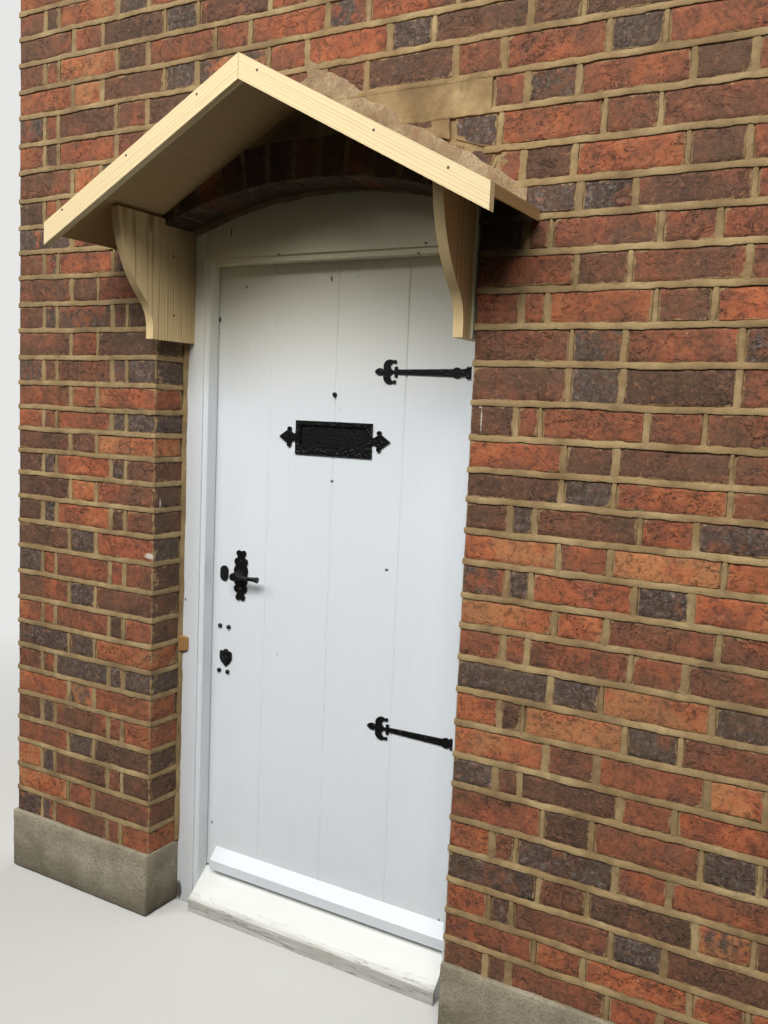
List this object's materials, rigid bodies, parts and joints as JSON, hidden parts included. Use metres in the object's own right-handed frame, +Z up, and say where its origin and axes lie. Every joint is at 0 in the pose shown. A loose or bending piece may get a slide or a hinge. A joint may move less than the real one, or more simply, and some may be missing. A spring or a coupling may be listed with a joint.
{
  "type": "entrance porch",
  "caption": "Cottage doorway bay in brick with a segmental arch, a white boarded door in its frame, and an open pine gable canopy on shaped brackets.",
  "frame": {"origin": "middle of the doorway on the ground, on the line of the frame's front face", "axes": "+Z up, +Y into the house, +X along the wall towards the hinge side of the door"},
  "size_m": [2.269, 0.5165, 2.609],
  "materials": {
    "brick": "weathered red brick with buff mortar",
    "render": "rough cement render",
    "frame_paint": "brushed white gloss paint",
    "door_paint": "brushed white paint on boards",
    "hinge_steel": "black paint",
    "black_iron": "black lacquered casting",
    "pine": "bare planed pine"
  },
  "bodies": {
    "surround": {"left_plinth": "render", "right_plinth": "render", "left_pier": "brick", "right_pier": "brick", "wall_over": "brick", "brick_arch": "brick", "left_jamb": "frame_paint", "right_jamb": "frame_paint", "frame_head": "frame_paint", "door_sill": "frame_paint", "packing_strip": "frame_paint", "hinge_plates": "hinge_steel", "left_roof_panel": "pine", "right_roof_panel": "pine", "left_barge_board": "pine", "right_barge_board": "pine", "left_bracket": "pine", "right_bracket": "pine"},
    "door": {"door_board_1": "door_paint", "door_board_2": "door_paint", "door_board_3": "door_paint", "door_board_4": "door_paint", "bottom_ledge": "door_paint", "middle_ledge": "door_paint", "top_ledge": "door_paint", "weatherboard": "door_paint", "hinge_straps": "hinge_steel", "upper_hinge_front": "black_iron", "lower_hinge_front": "black_iron", "letter_plate": "black_iron", "handle_plate": "black_iron", "latch_cover": "black_iron", "keyhole_plate": "black_iron", "door_studs": "black_iron", "door_viewer": "black_iron"},
    "flap": {"letter_flap": "black_iron"},
    "lever": {"lever_handle": "black_iron"},
    "cover": {"keyhole_cover": "black_iron"}
  },
  "joints": [
    {"name": "door_swing", "type": "hinge", "parent": "surround", "child": "door", "pos_m": [0.419, 0.105, 0.975], "axis": [0, 0, -1], "range_deg": [0, 95]},
    {"name": "letter_flap_swing", "type": "hinge", "parent": "door", "child": "flap", "pos_m": [0, 0.0513, 1.415], "axis": [1, 0, 0], "range_deg": [0, 70], "stiffness_Nm_per_rad": 0.08, "springref_deg": -17.19},
    {"name": "lever_turn", "type": "hinge", "parent": "door", "child": "lever", "pos_m": [-0.291, 0.048, 0.983], "axis": [0, 1, 0], "range_deg": [0, 40], "stiffness_Nm_per_rad": 1, "springref_deg": -22.92},
    {"name": "keyhole_cover_swing", "type": "hinge", "parent": "door", "child": "cover", "pos_m": [-0.338, 0.045, 0.753], "axis": [0, 1, 0], "range_deg": [-60, 60]}
  ]
}
